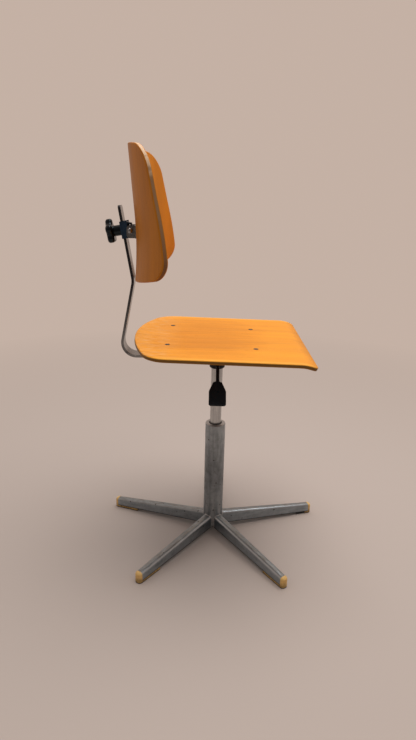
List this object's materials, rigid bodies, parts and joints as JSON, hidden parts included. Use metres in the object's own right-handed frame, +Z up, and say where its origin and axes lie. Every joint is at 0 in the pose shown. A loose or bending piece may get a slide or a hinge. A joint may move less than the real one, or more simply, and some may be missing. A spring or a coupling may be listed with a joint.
{
  "type": "swivel workshop chair",
  "caption": "Height-adjustable swivel workshop chair: star foot, gas-spring column with release lever, moulded plywood seat, and a tilting plywood back clamped on a flat steel bar",
  "frame": {"origin": "On the floor, on the column's axis.", "axes": "+Z is up. +X is the way the sitter faces. +Y is to the sitter's left."},
  "size_m": [0.5478, 0.5295, 0.9451],
  "materials": {
    "dull_zinc": "dull zinc, streaked",
    "bright_chrome": "polished chrome",
    "nickel_steel": "polished, worn",
    "bright_steel": "bright zinc",
    "blackened_steel": "blue-black, satin",
    "black_knob": "glossy black",
    "black_grip": "matt black",
    "black_nylon": "matt black",
    "tan_plastic": "aged tan",
    "black_rubber": "matt",
    "beech_ply": "honey lacquer over beech ply"
  },
  "bodies": {
    "base": {"stand_tube": "dull_zinc", "foot_pad": "black_rubber", "floor_disc": "bright_steel", "lower_bearing_washer": "bright_steel", "bearing_balls": "nickel_steel", "bearing_cage": "black_nylon", "guide_bush": "black_nylon", "leg_1": "dull_zinc", "foot_cap_1": "tan_plastic", "leg_2": "dull_zinc", "foot_cap_2": "tan_plastic", "leg_3": "dull_zinc", "foot_cap_3": "tan_plastic", "leg_4": "dull_zinc", "foot_cap_4": "tan_plastic", "leg_5": "dull_zinc", "foot_cap_5": "tan_plastic"},
    "spindle": {"piston_rod": "bright_chrome", "piston": "bright_steel", "piston_ring": "black_nylon", "upper_bearing_washer": "bright_steel", "rod_clip": "bright_steel", "bump_stop": "black_rubber"},
    "upper": {"gas_cylinder": "bright_chrome", "rod_guide": "black_nylon", "rod_seal": "black_rubber", "valve_body": "bright_steel", "carrier_hub": "blackened_steel", "carrier_channel": "blackened_steel", "front_strap": "blackened_steel", "rear_strap": "blackened_steel", "lever_lugs": "blackened_steel", "lever_pin": "bright_steel", "seat_shell": "beech_ply", "seat_screws": "bright_steel", "seat_nuts": "bright_steel", "back_bar": "nickel_steel", "bar_bolts": "bright_steel", "bar_nuts": "bright_steel"},
    "lever": {"lever_rod": "blackened_steel", "lever_paddle": "black_grip"},
    "valve": {"valve_pin": "bright_steel"},
    "clamp": {"bar_clamp": "blackened_steel", "tilt_bolt": "bright_steel", "dome_nut": "bright_steel"},
    "knob": {"star_knob": "black_knob", "clamp_screw": "bright_steel"},
    "backrest": {"back_shell": "beech_ply", "back_bracket": "bright_steel", "back_rivets": "bright_steel"}
  },
  "joints": [
    {"name": "seat_swivel", "type": "hinge", "parent": "base", "child": "spindle", "pos_m": [0, 0, 0], "axis": [0, 0, 1], "continuous": true},
    {"name": "seat_height", "type": "slide", "parent": "spindle", "child": "upper", "axis": [0, 0, 1], "range_m": [-0.13, 0]},
    {"name": "release_lever", "type": "hinge", "parent": "upper", "child": "lever", "pos_m": [-0.00136, -0.03898, 0.5003], "axis": [-0.9994, 0.0349, 0], "range_deg": [0, 5]},
    {"name": "valve_press", "type": "slide", "parent": "upper", "child": "valve", "axis": [0, 0, -1], "range_m": [0, 0.0037]},
    {"name": "back_height", "type": "slide", "parent": "upper", "child": "clamp", "axis": [-0.1668, 0, 0.986], "range_m": [-0.07, 0.028]},
    {"name": "knob_turn", "type": "hinge", "parent": "clamp", "child": "knob", "pos_m": [-0.21633, 0, 0.7685], "axis": [0.986, 0, 0.1668], "range_deg": [0, 360]},
    {"name": "back_tilt", "type": "hinge", "parent": "clamp", "child": "backrest", "pos_m": [-0.20005, 0, 0.76821], "axis": [0, -1, 0], "range_deg": [0, 12]}
  ],
  "couplings": [
    {"joint": "valve_press", "follows": "release_lever", "m_per_rad": 0.042}
  ]
}
